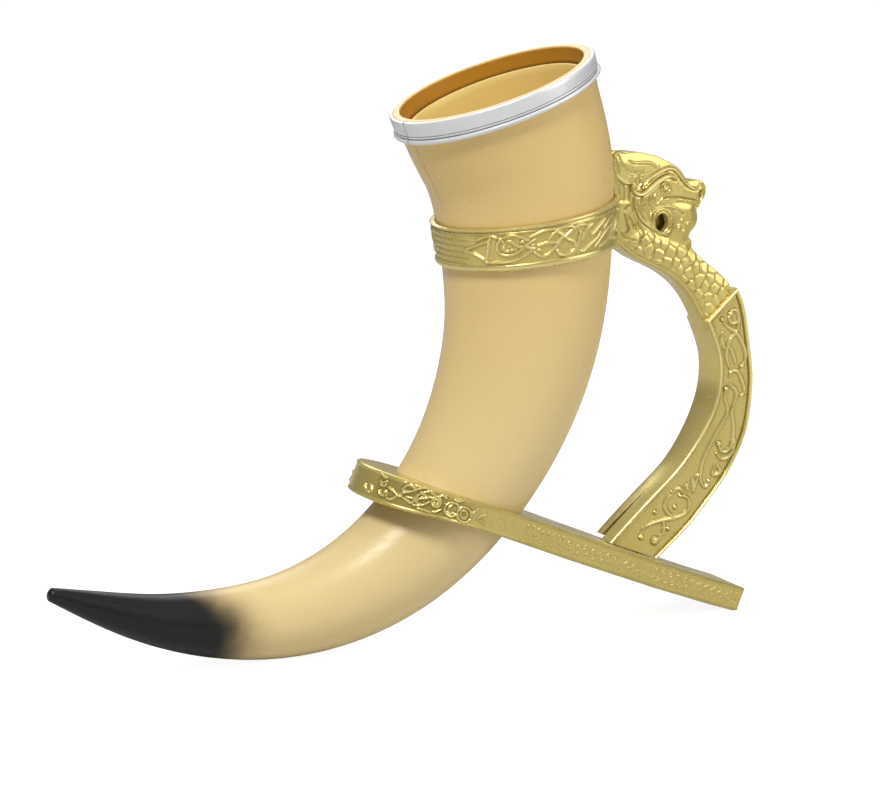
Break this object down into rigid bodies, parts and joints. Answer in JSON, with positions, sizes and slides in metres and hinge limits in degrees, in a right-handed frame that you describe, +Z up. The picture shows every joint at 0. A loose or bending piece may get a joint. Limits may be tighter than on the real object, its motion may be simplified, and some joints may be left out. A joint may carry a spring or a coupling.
{
  "type": "drinking horn",
  "caption": "Curved drinking horn with a silver rim band, an ornamented collar, a dragon-head handle and a sloping base plate that props it upright on a table.",
  "frame": {"origin": "middle of the bounding box in X and Y, on the table plane", "axes": "+X from the horn's tip to the handle, Y across the horn with the parting plane at Y 0, +Z up"},
  "size_m": [0.2954, 0.0806, 0.2288],
  "materials": {
    "horn_cream": "cream plastic with a satin skin and a sprayed black tip",
    "rim_silver": "silver paint on plastic",
    "liner_tan": "smooth tan plastic",
    "collar_gold": "gold paint on plastic",
    "handle_gold": "gold paint on plastic",
    "plate_gold": "gold paint on plastic"
  },
  "bodies": {
    "root": {"horn_left_shell": "horn_cream", "horn_right_shell": "horn_cream", "rim_band": "rim_silver", "inner_liner": "liner_tan", "collar_left": "collar_gold", "collar_right": "collar_gold", "handle_left": "handle_gold", "handle_right": "handle_gold", "base_plate": "plate_gold"}
  },
  "joints": []
}
